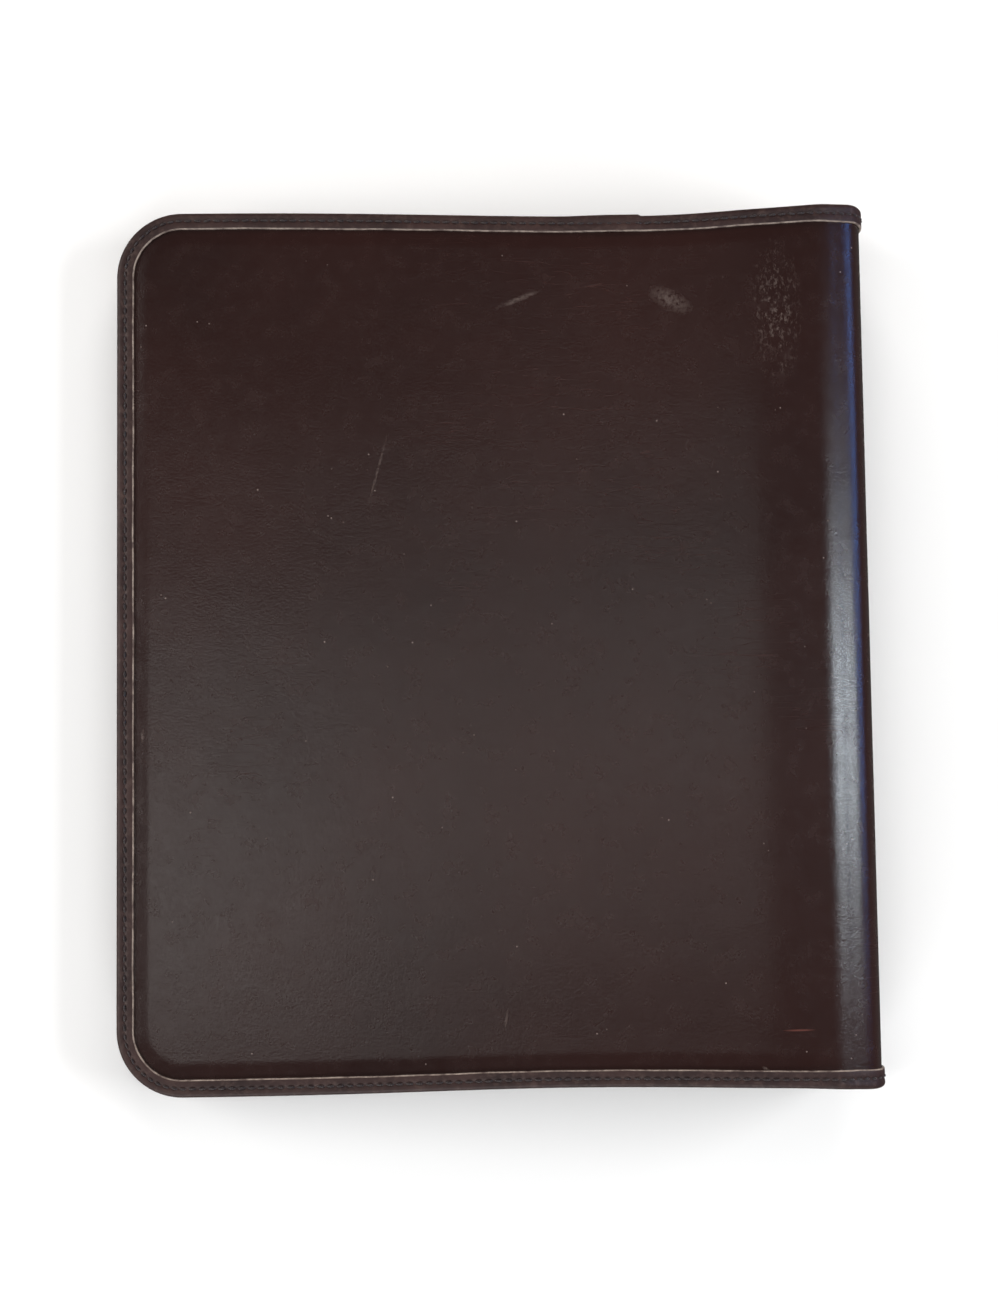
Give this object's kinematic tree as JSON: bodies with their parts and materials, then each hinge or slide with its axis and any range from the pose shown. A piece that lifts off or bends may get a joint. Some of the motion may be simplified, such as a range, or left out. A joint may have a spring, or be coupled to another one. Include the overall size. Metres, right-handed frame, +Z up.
{
  "type": "ring notebook cover",
  "caption": "Padded leather ring notebook cover: two taped and stitched covers hinged to a round spine with a three-ring mechanism that opens by end levers.",
  "frame": {"origin": "middle of the underside of the closed cover, on the surface it lies on", "axes": "+X towards the spine, +Y towards the head, +Z up through the closed cover"},
  "size_m": [0.26, 0.302, 0.043],
  "materials": {
    "cover_leather": "smooth dark brown, satin, finely grained",
    "binding_leather": "matte dark brown folded tape",
    "thread": "waxed dark red-black thread",
    "lining_leather": "matte brown lining",
    "pocket_leather": "matte brown",
    "board": "grey paperboard",
    "foam": "soft padding",
    "ring_steel": "nickel plated",
    "rivet_steel": "nickel plated"
  },
  "bodies": {
    "front_cover": {"front_leather": "cover_leather", "front_foam": "foam", "front_board": "board", "front_lining": "lining_leather", "front_binding": "binding_leather", "front_stitching": "thread", "document_pocket": "pocket_leather", "card_slot_1": "pocket_leather", "card_slot_2": "pocket_leather", "card_slot_3": "pocket_leather", "pen_loop": "pocket_leather"},
    "spine": {"spine_leather": "cover_leather", "spine_pad": "foam", "spine_board": "board", "spine_lining": "lining_leather", "spine_binding_head": "binding_leather", "spine_binding_foot": "binding_leather", "spine_stitching": "thread", "ring_plate": "ring_steel", "rivets": "rivet_steel", "trigger_pins": "ring_steel"},
    "rings_upper": {"blade_upper": "ring_steel", "ring_upper_head": "ring_steel", "ring_upper_middle": "ring_steel", "ring_upper_foot": "ring_steel"},
    "rings_lower": {"blade_lower": "ring_steel", "ring_lower_head": "ring_steel", "ring_lower_middle": "ring_steel", "ring_lower_foot": "ring_steel"},
    "lever_head": {"trigger_head": "ring_steel"},
    "lever_foot": {"trigger_foot": "ring_steel"},
    "back_cover": {"back_leather": "cover_leather", "back_foam": "foam", "back_board": "board", "back_lining": "lining_leather", "back_binding": "binding_leather", "back_stitching": "thread", "pad_pocket": "pocket_leather"}
  },
  "joints": [
    {"name": "front_hinge", "type": "hinge", "parent": "front_cover", "child": "spine", "pos_m": [0.12596, 0, 0.00429], "axis": [0, 1, 0], "range_deg": [0, 90]},
    {"name": "back_hinge", "type": "hinge", "parent": "spine", "child": "back_cover", "pos_m": [0.12596, 0, 0.04071], "axis": [0, 1, 0], "range_deg": [0, 97]},
    {"name": "ring_opening", "type": "hinge", "parent": "spine", "child": "rings_upper", "pos_m": [0.11915, 0, 0.0317], "axis": [0, 1, 0], "range_deg": [0, 12]},
    {"name": "ring_opening_lower", "type": "hinge", "parent": "spine", "child": "rings_lower", "pos_m": [0.11915, 0, 0.0133], "axis": [0, 1, 0], "range_deg": [-12, 0]},
    {"name": "trigger_head_turn", "type": "hinge", "parent": "spine", "child": "lever_head", "pos_m": [0.11915, 0.134, 0.0225], "axis": [0, 0, -1], "range_deg": [0, 21.6]},
    {"name": "trigger_foot_turn", "type": "hinge", "parent": "spine", "child": "lever_foot", "pos_m": [0.11915, -0.134, 0.0225], "axis": [0, 0, 1], "range_deg": [0, 21.6]}
  ],
  "couplings": [
    {"joint": "ring_opening_lower", "follows": "ring_opening", "ratio": -1},
    {"joint": "trigger_head_turn", "follows": "ring_opening", "ratio": 1.8},
    {"joint": "trigger_foot_turn", "follows": "ring_opening", "ratio": 1.8}
  ]
}
